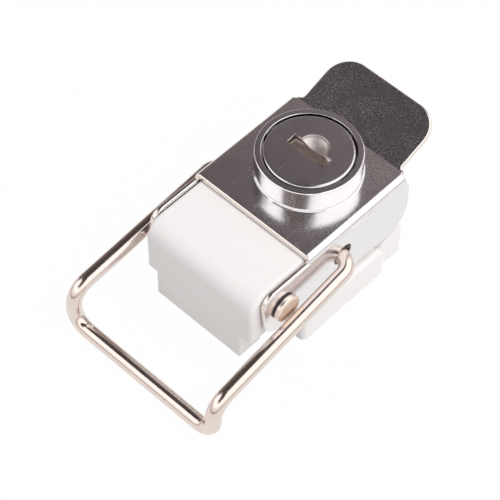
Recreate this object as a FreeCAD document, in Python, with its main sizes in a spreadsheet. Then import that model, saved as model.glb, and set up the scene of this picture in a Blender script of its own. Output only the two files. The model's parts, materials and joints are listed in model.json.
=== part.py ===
import FreeCAD, Part
import math
import os
import re
import Sketcher

# Enclosure latch lock: an over-centre lever with a wire bail and a key lock, on a moulded base.
# Millimetres. +Z leaves the wall that the base is screwed to, and -Y points to the bail.
# The origin is on the mounting face, midway between the two mounting screws.

Vector = FreeCAD.Vector

SIZES = [
    ("screw_spacing", 20.0, "between the two mounting screws"),
    ("insert_radius", 2.8, "outside of a threaded insert"),
    ("insert_length", 6.5, "threaded insert"),
    ("insert_bore", 1.65, "radius inside the insert's thread"),
    ("insert_waist", 0.4, "depth of the insert's waist"),
    ("insert_waist_end", 0.65, "half the length of the insert's waist"),
    ("knurl_depth", 0.15, "knurls of the insert"),
    ("knurl_width", 0.24, "knurls of the insert"),
    ("knurl_margin", 0.6, "plain ends of the insert"),
    ("knurl_count", 20.0, "knurls round the insert"),
    ("plate_width", 31.4, "lever, outside one flange to outside the other"),
    ("sheet", 1.2, "thickness of the lever's sheet"),
    ("bend_radius", 1.5, "outer radius of the lever's long bends"),
    ("plate_top", 24.5, "height of the lever's upper face above the mounting face"),
    ("plate_front", -12.0, "front edge of the lever's plate"),
    ("plate_length", 28.5, "lever's plate, front edge to the bend of its tab"),
    ("tab_width", 26.7, "finger tab"),
    ("tab_length", 13.3, "finger tab, past its bend"),
    ("tab_rise", 20.0, "degrees that the tab is bent up by"),
    ("tab_corner", 5.8, "corner radius of the tab"),
    ("tab_bend", 1.5, "inner radius of the tab's bend"),
    ("tab_root", 0.9, "radius where the tab leaves the plate's rear edge"),
    ("relief", 0.4, "radius of the corners between the plate's front edge and its arms"),
    ("arm_reach", 13.3, "how far the flanges reach before the plate's front edge"),
    ("arm_drop", 1.4, "upper edge of the arms below the plate's upper face"),
    ("arm_slant", 1.4, "how far the arm's end slants back on its way down"),
    ("arm_depth", 14.4, "lower edge of the flanges at the arms, below the plate's upper face"),
    ("flange_depth", 16.1, "lower edge of the flanges at the rear, below the plate's upper face"),
    ("flange_tail", 1.3, "how far the flanges run past the plate's rear edge"),
    ("flange_shoulder", 4.2, "height of the slanted upper part of the flange's rear edge"),
    ("arm_top_radius", 3.0, "upper corner of the arm's end"),
    ("arm_low_radius", 4.5, "lower corner of the arm's end"),
    ("flange_rear_radius", 6.5, "lower rear corner of the flange"),
    ("side_gap", 0.15, "between the base and the inside of a flange"),
    ("plate_gap", 0.2, "between the base and the underside of the plate"),
    ("fit_gap", 0.06, "radial clearance of a turning fit"),
    ("press_gap", 0.02, "radial clearance of a pressed or screwed piece"),
    ("hole_gap", 0.1, "radial clearance of the lock's barrel in the plate"),
    ("overcut", 1.0, "how far a cut starts before the face that it goes through"),
    ("rivet_y", -19.3, "pivot of the lever"),
    ("rivet_drop", 8.0, "pivot of the lever below the plate's upper face"),
    ("rivet_radius", 2.5, "shank of the rivet"),
    ("rivet_head", 3.15, "radius of the rivet's heads"),
    ("rivet_head_thick", 1.05, "rivet's heads"),
    ("rivet_head_round", 0.6, "rounding of the rivet's heads"),
    ("rivet_washer", 2.95, "outer radius of the rivet's washers"),
    ("rivet_washer_thick", 0.35, "rivet's washers"),
    ("washer_gap", 0.05, "between a rivet washer and the flange"),
    ("bail_y", -2.5, "pivot of the bail, in the flanges"),
    ("bail_drop", 7.9, "pivot of the bail below the plate's upper face"),
    ("wire_radius", 1.65, "bail's wire"),
    ("bail_inside", 2.3, "how far the wire's ends reach inside the flanges"),
    ("bail_hole", 2.45, "radius of the flange's hole, loose on the wire"),
    ("bail_pull", 0.58, "how far the wire sits before its hole's centre"),
    ("bail_lift", 0.3, "how far the wire sits above its hole's centre"),
    ("bail_side", 2.9, "outside of a flange to the centre line of the arm beside it"),
    ("bail_bend", 3.2, "bend of the wire beside the flange, at its centre line"),
    ("bail_reach", 40.8, "pivot of the bail to its cross bar"),
    ("bail_splay", 0.9, "how far each arm of the bail leans outwards"),
    ("bail_hook", 9.1, "drop of the bail's hooked front"),
    ("bail_hook_lean", 0.6, "how far the hook leans forward"),
    ("knee_bend", 4.5, "bend from the bail's arm into the hook"),
    ("corner_bend", 4.0, "bend from the hook into the cross bar"),
    ("block_front", -27.4, "front face of the base"),
    ("block_rear", -8.5, "rear face of the base's pivot block"),
    ("block_reveal", 0.1, "underside of the pivot block below the arms"),
    ("block_round", 4.5, "upper front edge of the pivot block"),
    ("edge_round", 1.0, "other edges of the pivot block"),
    ("lug_width", 23.0, "lug below the front of the pivot block"),
    ("lug_depth", 6.1, "lug, front to rear"),
    ("lug_low", 2.8, "lower end of the lug above the mounting face"),
    ("lug_round", 0.4, "lower edges of the lug"),
    ("foot_front", -14.5, "front of the base's foot"),
    ("foot_gap", 0.2, "between the foot's shoulder and the flanges above it"),
    ("wing_rear", 9.3, "rear of the foot's wide part"),
    ("wing_width", 34.0, "foot at its wide part"),
    ("wing_round", 1.2, "edges of the foot's wide part"),
    ("wing_heel", 1.8, "lower rear corner of the foot's wide part"),
    ("base_rear", 16.4, "rear face of the base"),
    ("rear_width", 31.2, "foot behind its wide part"),
    ("floor_gap", 0.9, "between the tongue's screw and the floor inside the base"),
    ("side_wall_height", 5.3, "base's side walls above its floor"),
    ("rear_wall", 3.1, "rear wall of the base"),
    ("ledge_height", 3.3, "rear wall above its window, which the tongue locks under"),
    ("window_width", 15.0, "window in the rear wall for the tongue"),
    ("window_room", 0.5, "window above and below the tongue and its stop washer"),
    ("bore_bottom", 0.2, "blind bore past the end of its insert"),
    ("core_apart", 2.0, "hollows under the foot, beside the inserts"),
    ("core_depth", 5.5, "hollows under the foot"),
    ("core_width", 7.6, "hollows under the foot, across the base"),
    ("core_length", 6.4, "hollows under the foot, along the base"),
    ("core_pitch", 8.4, "hollows under the foot, one to the next"),
    ("core_wall", 2.2, "foot's front to its first hollow"),
    ("lock_y", 4.5, "axis of the lock"),
    ("collar_radius", 11.0, "lock's collar"),
    ("collar_height", 5.5, "lock's collar above the plate"),
    ("collar_round", 0.3, "upper edge of the collar"),
    ("collar_foot", 11.3, "radius of the collar's flared foot"),
    ("collar_foot_edge", 0.3, "edge of the collar's flared foot"),
    ("collar_flare", 0.15, "slope above the edge of the collar's foot"),
    ("recess_radius", 9.65, "recess in the collar"),
    ("recess_depth", 2.5, "recess in the collar"),
    ("recess_round", 0.15, "inner edge of the collar's rim"),
    ("barrel_radius", 8.0, "threaded barrel of the lock"),
    ("barrel_flat", 7.0, "axis to each flat of the barrel"),
    ("barrel_length", 9.5, "barrel below the plate's upper face"),
    ("thread_pitch", 1.0, "rings that stand in for the barrel's thread"),
    ("thread_depth", 0.4, "rings that stand in for the barrel's thread"),
    ("thread_rings", 6.0, "number of thread rings below the nut"),
    ("bore_radius", 6.0, "barrel's bore for the plug"),
    ("channel_depth", 0.5, "channels in the bore that the wafers catch in"),
    ("channel_width", 5.4, "channels in the bore"),
    ("channel_end", 0.4, "end of the channels below the sealing ring's groove"),
    ("plug_gap", 0.05, "radial clearance of the plug in its bore"),
    ("plug_head", 8.8, "radius of the plug's head"),
    ("cap_sheet", 0.5, "thickness of the plug's cap"),
    ("cap_skirt", 1.4, "skirt of the plug's cap"),
    ("cap_round", 0.6, "upper edge of the plug's cap"),
    ("slot_length", 9.8, "key slot in the cap"),
    ("slot_width", 2.55, "key slot in the cap"),
    ("thumb_radius", 3.2, "half-round opening beside the key slot"),
    ("thumb_depth", 1.0, "dished recess below the half-round opening"),
    ("keyway_length", 8.2, "keyway through the plug"),
    ("keyway_width", 2.0, "keyway through the plug"),
    ("keyway_end", 1.2, "bottom of the keyway above the barrel's end"),
    ("flap_length", 9.5, "flap that closes the key slot"),
    ("flap_reach", 2.28, "flap, hinge line to its free edge"),
    ("flap_thick", 0.35, "flap"),
    ("flap_hinge", 1.1, "hinge line of the flap beside the lock's axis"),
    ("flap_drop", 1.15, "hinge line of the flap below the cap's face"),
    ("flap_room", 0.3, "room for the flap in the plug's head"),
    ("knuckle_radius", 0.5, "flap's knuckle"),
    ("knuckle_length", 7.7, "flap's knuckle"),
    ("pin_radius", 0.27, "flap's hinge pin"),
    ("pin_gap", 0.03, "radial clearance of the hinge pin"),
    ("pin_length", 10.8, "flap's hinge pin"),
    ("flap_spring_wire", 0.07, "radius of the flap spring's wire"),
    ("flap_spring_turns", 3.0, "turns of the flap spring"),
    ("wafer_thick", 0.7, "wafers"),
    ("wafer_length", 10.6, "wafers, along their travel"),
    ("wafer_width", 5.0, "wafers"),
    ("wafer_pitch", 1.6, "one wafer to the next"),
    ("wafer_start", 2.4, "middle of the lowest wafer above the barrel's end"),
    ("wafer_gap", 0.02, "between a wafer and its slot"),
    ("wafer_rail", 1.0, "bars at the ends of a wafer's window"),
    ("key_gap", 0.1, "wafer's window beside the keyway"),
    ("wafer_ear", 1.1, "ear that a wafer's spring bears on"),
    ("spring_radius", 0.45, "centre line of a wafer spring's coil"),
    ("spring_wire", 0.1, "radius of a wafer spring's wire"),
    ("spring_length", 3.2, "wafer spring"),
    ("spring_gap", 0.05, "round a wafer spring in its pocket"),
    ("pocket_room", 0.3, "ends and depth of a wafer spring's pocket"),
    ("spring_turns", 4.0, "turns of a wafer spring"),
    ("seal_wire", 0.5, "half the thickness of the plug's sealing ring"),
    ("seal_drop", 2.2, "middle of the plug's sealing ring below the recess"),
    ("clip_inner", 5.2, "inner radius of the plug's clip"),
    ("clip_outer", 6.6, "outer radius of the plug's clip"),
    ("clip_thick", 0.6, "plug's clip"),
    ("clip_opening", 60.0, "degrees that the plug's clip is open"),
    ("land", 0.4, "plug below its clip"),
    ("tail_width", 5.0, "square tail of the plug"),
    ("tail_short", 0.2, "tail's end above the underside of the cam"),
    ("stop_radius", 6.2, "stop washer"),
    ("stop_thick", 0.8, "stop washer"),
    ("ear_inner", 6.9, "stop washer's ear, inner side"),
    ("ear_thick", 0.8, "stop washer's ear"),
    ("ear_width", 2.6, "stop washer's ear"),
    ("ear_height", 1.0, "how far the ear reaches up beside the barrel's end"),
    ("ear_gap", 0.1, "between the ear and the notch's inner side"),
    ("notch_room", 0.3, "notch above the ear"),
    ("notch_spare", 3.0, "degrees of notch past the ear at each end of its turn"),
    ("turn", 90.0, "degrees that the plug turns"),
    ("cam_length", 10.7, "locking tongue, axis to tip"),
    ("cam_width", 7.0, "locking tongue"),
    ("cam_thick", 1.6, "locking tongue"),
    ("cam_hub", 4.6, "radius of the locking tongue round the tail"),
    ("cam_round", 2.0, "corners of the tongue's tip"),
    ("cam_room", 0.8, "room for the tongue inside the base"),
    ("cam_washer_radius", 3.6, "spring washer under the tongue's screw"),
    ("cam_washer_thick", 0.5, "spring washer under the tongue's screw"),
    ("cam_washer_split", 0.6, "split of the spring washer"),
    ("cam_screw_radius", 1.5, "tongue's screw"),
    ("cam_screw_length", 4.2, "tongue's screw inside the plug"),
    ("cam_screw_head", 3.2, "head radius of the tongue's screw"),
    ("cam_screw_head_thick", 2.0, "head of the tongue's screw"),
    ("cam_screw_round", 0.9, "edge of the screw's head"),
    ("drive_length", 3.6, "cross recess in the screw's head"),
    ("drive_width", 0.8, "cross recess in the screw's head"),
    ("drive_depth", 1.1, "cross recess in the screw's head"),
    ("nut_flats", 20.0, "lock nut across its flats"),
    ("nut_face", 10.2, "radius of the nut's flat face inside its chamfer"),
    ("nut_thick", 3.0, "lock nut"),
    ("nut_washer_radius", 10.6, "toothed washer above the lock nut"),
    ("nut_washer_thick", 0.5, "toothed washer above the lock nut"),
    ("tooth_depth", 1.4, "notches of the toothed washer"),
    ("tooth_gap", 1.2, "notches of the toothed washer"),
    ("tooth_count", 16.0, "notches of the toothed washer"),
]

WORKED_OUT = [
    ("half_width", "plate_width / 2"),
    ("flange_inner", "plate_width / 2 - sheet"),
    ("plate_rear", "plate_front + plate_length"),
    ("plate_under", "plate_top - sheet"),
    ("block_half", "flange_inner - side_gap"),
    ("base_top", "plate_under - plate_gap"),
    ("block_low", "plate_top - arm_depth - block_reveal"),
    ("foot_top", "plate_top - flange_depth - foot_gap"),
    ("rivet_z", "plate_top - rivet_drop"),
    ("bail_z", "plate_top - bail_drop"),
    ("cavity_half", "cam_length + cam_room"),
    ("washer_start", "half_width + washer_gap"),
    ("head_start", "washer_start + rivet_washer_thick"),
    ("head_end", "head_start + rivet_head_thick"),
    ("collar_top", "plate_top + collar_height"),
    ("recess_floor", "collar_top - recess_depth"),
    ("seal_z", "recess_floor - seal_drop"),
    ("barrel_low", "plate_top - barrel_length"),
    ("wafer_low", "barrel_low + wafer_start"),
    ("clip_low", "barrel_low - clip_thick"),
    ("land_low", "clip_low - land"),
    ("stop_low", "land_low - stop_thick"),
    ("cam_low", "stop_low - cam_thick"),
    ("cam_washer_low", "cam_low - cam_washer_thick"),
    ("screw_low", "cam_washer_low - cam_screw_head_thick"),
    ("window_low", "cam_low - window_room"),
    ("window_top", "stop_low + window_room"),
    ("ledge_top", "window_top + ledge_height"),
    ("floor_z", "screw_low - floor_gap"),
    ("side_wall_top", "floor_z + side_wall_height"),
    ("nut_washer_low", "plate_under - nut_washer_thick"),
    ("nut_low", "nut_washer_low - nut_thick"),
    ("plug_radius", "bore_radius - plug_gap"),
    ("head_top", "collar_top - cap_sheet"),
    ("cap_radius", "plug_head + cap_sheet"),
    ("hinge_z", "collar_top - flap_drop"),
    ("chamber_low", "hinge_z - flap_reach - flap_room"),
    ("chamber_half", "flap_length / 2 + flap_room"),
    ("keyway_low", "barrel_low + keyway_end"),
    ("tail_low", "cam_low + tail_short"),
    ("seal_radius", "plug_radius - seal_wire"),
]

ALIASES = {row[0] for row in SIZES + WORKED_OUT}

WAFER_CODES = (0.2, -0.2, 0.1, -0.1, 0.2)

doc = FreeCAD.newDocument("EnclosureLatchLock")
sheet = doc.addObject("Spreadsheet::Sheet", "Sizes")


def fill_sheet():
    """Write the driving sizes, then the ones worked out from them, one to a row."""
    sheet.set("A1", "Alias")
    sheet.set("B1", "Value")
    sheet.set("C1", "What it is")
    row = 2
    for alias, value, meaning in SIZES:
        sheet.set("A%d" % row, alias)
        sheet.set("B%d" % row, str(value))
        sheet.set("C%d" % row, meaning)
        sheet.setAlias("B%d" % row, alias)
        row += 1
    for alias, formula in WORKED_OUT:
        sheet.set("A%d" % row, alias)
        sheet.set("B%d" % row, "=" + formula)
        sheet.setAlias("B%d" % row, alias)
        row += 1
    doc.recompute()


def size(alias):
    """Value of one cell of the sheet."""
    return float(sheet.get(alias))


def on_sheet(text):
    """Turn the aliases in an expression into references to the sheet."""
    def refer(word):
        return "Sizes." + word.group() if word.group() in ALIASES else word.group()
    return re.sub(r"[a-z_]+", refer, text)


def bind(item, **sizes):
    """Bind properties of an object to expressions on the sheet."""
    for prop, text in sizes.items():
        item.setExpression(prop, on_sheet(text))


def place(item, x="0", y="0", z="0"):
    """Bind the place of an object to expressions on the sheet."""
    for axis, text in zip("xyz", (x, y, z)):
        item.setExpression("Placement.Base." + axis, on_sheet(text))


def lay_along_x(item):
    """Turn a cylinder, whose own axis is Z, to lie along X."""
    item.Placement = FreeCAD.Placement(Vector(0, 0, 0), FreeCAD.Rotation(Vector(0, 1, 0), 90))


def new_body(label):
    body = doc.addObject("PartDesign::Body", label)
    body.Label = label
    return body


def slab(body, kind, name, low, high):
    """Add or take away a box between two corners, each a triple of expressions."""
    box = body.newObject("PartDesign::%sBox" % kind, name)
    spans = ["(%s) - (%s)" % (b, a) for a, b in zip(low, high)]
    bind(box, Length=spans[0], Width=spans[1], Height=spans[2])
    place(box, *low)
    return box


def rod(body, kind, name, radius, length, x="0", y="0", z="0", along_x=False, sector=360):
    """Add or take away a cylinder, or a sector of one, that starts at a point and runs along Z or X."""
    cylinder = body.newObject("PartDesign::%sCylinder" % kind, name)
    bind(cylinder, Radius=radius, Height=length)
    cylinder.Angle = sector
    if along_x:
        lay_along_x(cylinder)
    place(cylinder, x, y, z)
    return cylinder


def outline(body, name, role, corners):
    """Sketch a closed outline whose every corner is bound to the sheet."""
    sketch = body.newObject("Sketcher::SketchObject", name)
    plane = [item for item in body.Origin.OriginFeatures if item.Role == role][0]
    sketch.AttachmentSupport = [(plane, "")]
    sketch.MapMode = "FlatFace"
    count = len(corners)
    for i in range(count):
        start = Vector(i, i * i, 0)
        end = Vector(i + 1, (i + 1) * (i + 1), 0)
        sketch.addGeometry(Part.LineSegment(start, end))
    for i in range(count):
        sketch.addConstraint(Sketcher.Constraint("Coincident", i, 2, (i + 1) % count, 1))
    for i, corner in enumerate(corners):
        for kind, text in zip(("DistanceX", "DistanceY"), corner):
            number = sketch.addConstraint(Sketcher.Constraint(kind, -1, 1, i, 1, 1.0))
            sketch.setExpression("Constraints[%d]" % number, on_sheet(text))
    return sketch


def turned(body, name, corners):
    """Turn an outline of (radius, height) corners about the body's Z axis."""
    sketch = outline(body, name + "Profile", "XZ_Plane", corners)
    feature = body.newObject("PartDesign::Revolution", name)
    feature.Profile = sketch
    feature.ReferenceAxis = (sketch, ["V_Axis"])
    feature.Angle = 360
    return feature


def pick_edges(shape, test):
    """Names of the edges whose box passes a test."""
    return ["Edge%d" % (i + 1) for i, edge in enumerate(shape.Edges) if test(edge.BoundBox)]


def round_edges(body, name, radius, test):
    """Round the edges of the body so far that pass a test."""
    doc.recompute()
    base = body.Tip
    fillet = body.newObject("PartDesign::Fillet", name)
    fillet.Base = (base, pick_edges(base.Shape, test))
    bind(fillet, Radius=radius)
    doc.recompute()
    return fillet


def near(value, wanted):
    return abs(value - wanted) < 1e-3


def ring_edge(radius, height):
    """Test for the round edge of a turned piece at a radius and height."""
    def test(box):
        return near(box.XMax, radius) and near(box.ZMin, height) and near(box.ZMax, height)
    return test


def round_about(points, radii, closed=True):
    """Wire through corner points, each corner rounded by its own radius."""
    corners = [Vector(*point) for point in points]
    count = len(corners)
    stops = []
    for i, corner in enumerate(corners):
        inner = closed or 0 < i < count - 1
        if radii[i] == 0 or not inner:
            stops.append((corner, None, corner))
            continue
        back = (corners[i - 1] - corner).normalize()
        ahead = (corners[(i + 1) % count] - corner).normalize()
        half = back.getAngle(ahead) / 2
        reach = radii[i] / math.tan(half)
        sagitta = radii[i] / math.sin(half) - radii[i]
        middle = corner + (back + ahead).normalize() * sagitta
        stops.append((corner + back * reach, middle, corner + ahead * reach))
    edges = []
    for i, (start, middle, end) in enumerate(stops):
        if middle is not None:
            edges.append(Part.Arc(start, middle, end).toShape())
        if i < count - 1 or closed:
            following = stops[(i + 1) % count][0]
            if end.distanceToPoint(following) > 1e-6:
                edges.append(Part.LineSegment(end, following).toShape())
    return Part.Wire(edges)


def plain_feature(label, shape):
    """A piece whose shape is made by the functions of this file."""
    feature = doc.addObject("Part::Feature", label)
    feature.Label = label
    feature.Shape = shape
    return feature


def base_housing():
    """Moulded base: pivot block, front lug, foot, side walls and the rear wall with its window."""
    body = new_body("base_housing")
    half, front, top = size("block_half"), size("block_front"), size("base_top")
    slab(body, "Additive", "PivotBlock", ("-block_half", "block_front", "block_low"),
         ("block_half", "block_rear", "base_top"))
    round_edges(body, "BlockFront", "block_round",
                lambda box: near(box.YMax, front) and near(box.ZMin, top))
    low, rear = size("block_low"), size("block_rear")
    round_edges(body, "BlockSides", "edge_round",
                lambda box: near(box.XLength, 0) and box.ZMax > low + 0.01 and box.YMin < rear - 0.01)
    slab(body, "Additive", "Lug", ("-lug_width / 2", "block_front", "lug_low"),
         ("lug_width / 2", "block_front + lug_depth", "block_low + edge_round"))
    lug_low = size("lug_low")
    round_edges(body, "LugEdges", "lug_round",
                lambda box: near(box.ZMin, lug_low) and near(box.ZLength, 0))
    slab(body, "Additive", "Wings", ("-wing_width / 2", "foot_front", "0"),
         ("wing_width / 2", "wing_rear", "foot_top"))
    wing, shoulder, wing_end = size("wing_width") / 2, size("foot_top"), size("wing_rear")
    foot_front = size("foot_front")

    def wing_edge(box):
        upright = near(box.XLength, 0) and near(box.YLength, 0) and near(box.YMin, foot_front)
        upper = near(box.XLength, 0) and near(box.ZMin, shoulder)
        hind = near(box.YMin, wing_end) and near(box.ZLength, 0) and near(box.ZMin, shoulder)
        return near(max(abs(box.XMin), abs(box.XMax)), wing) and (upright or upper or hind)

    round_edges(body, "WingEdges", "wing_round", wing_edge)
    round_edges(body, "WingHeel", "wing_heel",
                lambda box: near(box.YMin, wing_end) and near(box.YLength, 0) and near(box.ZMax, 0))
    slab(body, "Additive", "RearFoot", ("-rear_width / 2", "wing_rear - wing_heel", "0"),
         ("rear_width / 2", "base_rear", "foot_top"))
    slab(body, "Additive", "Walls", ("-block_half", "foot_front", "0"),
         ("block_half", "base_rear", "side_wall_top"))
    slab(body, "Additive", "Ledge", ("-block_half", "base_rear - rear_wall", "floor_z"),
         ("block_half", "base_rear", "ledge_top"))
    slab(body, "Subtractive", "Cavity", ("-cavity_half", "block_rear", "floor_z"),
         ("cavity_half", "base_rear - rear_wall", "base_top"))
    slab(body, "Subtractive", "Window",
         ("-window_width / 2", "base_rear - rear_wall - overcut", "window_low"),
         ("window_width / 2", "base_rear + overcut", "window_top"))
    rod(body, "Subtractive", "RivetBore", "rivet_radius + press_gap", "2 * (block_half + overcut)",
        "-block_half - overcut", "rivet_y", "rivet_z", along_x=True)
    for name, side in (("FrontInsertBore", "-"), ("RearInsertBore", "")):
        rod(body, "Subtractive", name, "insert_radius + press_gap", "insert_length + bore_bottom",
            y=side + "screw_spacing / 2")
    for side, inner in (("Left", "-insert_radius - core_apart - core_width"),
                        ("Right", "insert_radius + core_apart")):
        for row in range(3):
            start = "foot_front + core_wall + %d * core_pitch" % row
            slab(body, "Subtractive", "Core%s%d" % (side, row + 1), (inner, start, "0"),
                 (inner + " + core_width", start + " + core_length", "core_depth"))
    return body


def threaded_insert(label, side):
    """Brass insert with a knurled outside and a waist."""
    body = new_body(label)
    waist = "insert_radius - insert_waist"
    low, high = "insert_length / 2 - insert_waist_end", "insert_length / 2 + insert_waist_end"
    turned(body, "Barrel", [("insert_bore", "0"), ("insert_radius", "0"), ("insert_radius", low),
                            (waist, low + " + insert_waist"), (waist, high + " - insert_waist"),
                            ("insert_radius", high), ("insert_radius", "insert_length"),
                            ("insert_bore", "insert_length")])
    doc.recompute()
    notch = slab(body, "Subtractive", "Knurl",
                 ("insert_radius - knurl_depth", "-knurl_width / 2", "knurl_margin"),
                 ("insert_radius + overcut", "knurl_width / 2", "insert_length - knurl_margin"))
    knurls = body.newObject("PartDesign::PolarPattern", "Knurls")
    knurls.Originals = [notch]
    knurls.Axis = (body.Origin.OriginFeatures[2], [""])
    knurls.Angle = 360
    bind(knurls, Occurrences="knurl_count")
    body.Tip = knurls
    place(body, y=side + "screw_spacing / 2")
    return body


def pivot_rivet():
    """Rivet through both flanges and the pivot block, with a head at each end."""
    body = new_body("pivot_rivet")
    rod(body, "Additive", "Shank", "rivet_radius", "2 * head_end", "-head_end", along_x=True)
    rod(body, "Additive", "LeftHead", "rivet_head", "rivet_head_thick", "-head_end", along_x=True)
    rod(body, "Additive", "RightHead", "rivet_head", "rivet_head_thick", "head_start", along_x=True)
    end, head = size("head_end"), size("rivet_head")
    round_edges(body, "HeadEdges", "rivet_head_round",
                lambda box: near(box.XLength, 0) and near(abs(box.XMin), end) and near(box.YMax, head))
    place(body, y="rivet_y", z="rivet_z")
    return body


def rivet_washer(label, start):
    """Thin washer between a flange and a head of the rivet."""
    body = new_body(label)
    rod(body, "Additive", "Disc", "rivet_washer", "rivet_washer_thick", start, along_x=True)
    rod(body, "Subtractive", "Hole", "rivet_radius + press_gap", "rivet_washer_thick + 2 * overcut",
        start + " - overcut", along_x=True)
    place(body, y="rivet_y", z="rivet_z")
    return body


def lever_blank():
    """Bent sheet without its holes: top plate, two flanges with their arms, and the finger tab."""
    half, thick, top = size("half_width"), size("sheet"), size("plate_top")
    front, rear = size("plate_front"), size("plate_rear")
    bend, over = size("bend_radius"), size("overcut")
    deep = top - size("flange_depth") - over
    tail = rear + size("flange_tail")
    nose = front - size("arm_reach")

    start = nose - over
    channel = round_about(
        [(-half, start, deep), (-half, start, top), (half, start, top), (half, start, deep),
         (half - thick, start, deep), (half - thick, start, top - thick),
         (thick - half, start, top - thick), (thick - half, start, deep)],
        [0, bend, bend, 0, 0, bend - thick, bend - thick, 0])
    channel = Part.Face(channel).extrude(Vector(0, tail + over - start, 0))

    left = -half - over
    arm_top = top - size("arm_drop")
    side = round_about(
        [(left, nose, arm_top), (left, front, arm_top), (left, front, top + over), (left, rear, top + over),
         (left, rear, top - bend), (left, tail, top - size("flange_shoulder")),
         (left, tail, top - size("flange_depth")), (left, nose + size("arm_slant"), top - size("arm_depth"))],
        [size("arm_top_radius"), size("relief"), 0, 0, 0, bend, size("flange_rear_radius"),
         size("arm_low_radius")])
    side = Part.Face(side).extrude(Vector(-2 * left, 0, 0))

    flanged = channel.common(side)
    tab_half, corner = size("tab_width") / 2, size("tab_corner")
    tab_end, curve = rear + size("tab_length"), size("tab_root")
    root_half = tab_half + curve
    tab = round_about([(-root_half, rear, top - thick), (root_half, rear, top - thick),
                       (tab_half, rear, top - thick), (tab_half, tab_end, top - thick),
                       (-tab_half, tab_end, top - thick), (-tab_half, rear, top - thick)],
                      [0, 0, curve, corner, corner, curve])
    tab = Part.Face(tab).extrude(Vector(0, 0, thick))
    hinge = Vector(0, rear, top + size("tab_bend"))
    root = Part.Face(round_about([(-root_half, rear, top - thick), (root_half, rear, top - thick),
                                  (root_half, rear, top), (-root_half, rear, top)], [0, 0, 0, 0]))
    knee = root.revolve(hinge, Vector(1, 0, 0), size("tab_rise"))
    tab.rotate(hinge, Vector(1, 0, 0), size("tab_rise"))
    return flanged.fuse([knee, tab]).removeSplitter()


def lever_plate():
    """The bent sheet, with its holes for the rivet, the bail and the lock."""
    half, thick, top, over = size("half_width"), size("sheet"), size("plate_top"), size("overcut")
    shape = lever_blank()
    across = 2 * (half + over)
    pull, lift = size("bail_pull"), size("bail_lift")
    for y, z, radius in ((size("rivet_y"), size("rivet_z"), size("rivet_radius") + size("fit_gap")),
                         (size("bail_y") + pull, size("bail_z") - lift, size("bail_hole"))):
        shape = shape.cut(Part.makeCylinder(radius, across, Vector(-half - over, y, z), Vector(1, 0, 0)))
    low, through = top - thick - over, thick + 2 * over
    radius, flat = size("barrel_radius") + size("hole_gap"), size("barrel_flat") + size("hole_gap")
    barrel = Part.makeCylinder(radius, through, Vector(0, size("lock_y"), low))
    between = Part.makeBox(2 * flat, 2 * radius, through, Vector(-flat, size("lock_y") - radius, low))
    return plain_feature("lever_plate", shape.cut(barrel.common(between)).removeSplitter())


def wire_bail():
    """Round wire: both ends through the flanges, two arms, a hooked front and a cross bar."""
    radius = size("wire_radius")
    pivot_y, pivot_z = size("bail_y"), size("bail_z")
    bar_y, bar_z = pivot_y - size("bail_reach"), radius
    arm_x = size("half_width") + size("bail_side")
    bar_x = arm_x + size("bail_splay")
    tip_x = size("flange_inner") - size("bail_inside")
    knee_y, knee_z = bar_y + size("bail_hook_lean"), bar_z + size("bail_hook")
    right = [(tip_x, pivot_y, pivot_z), (arm_x, pivot_y, pivot_z),
             (bar_x, knee_y, knee_z), (bar_x, bar_y, bar_z)]
    left = [(-x, y, z) for x, y, z in reversed(right)]
    bends = [0, size("bail_bend"), size("knee_bend"), size("corner_bend")]
    path = round_about(right + left, bends + bends[::-1], closed=False)
    section = Part.Wire(Part.makeCircle(radius, Vector(*right[0]), Vector(1, 0, 0)))
    wire = path.makePipeShell([section], True, False)
    share = wire.Volume / (math.pi * radius ** 2 * path.Length)
    print("bail: wire %.2f mm long, volume %.4f of section times length" % (path.Length, share))
    return plain_feature("wire_bail", wire)


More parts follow.
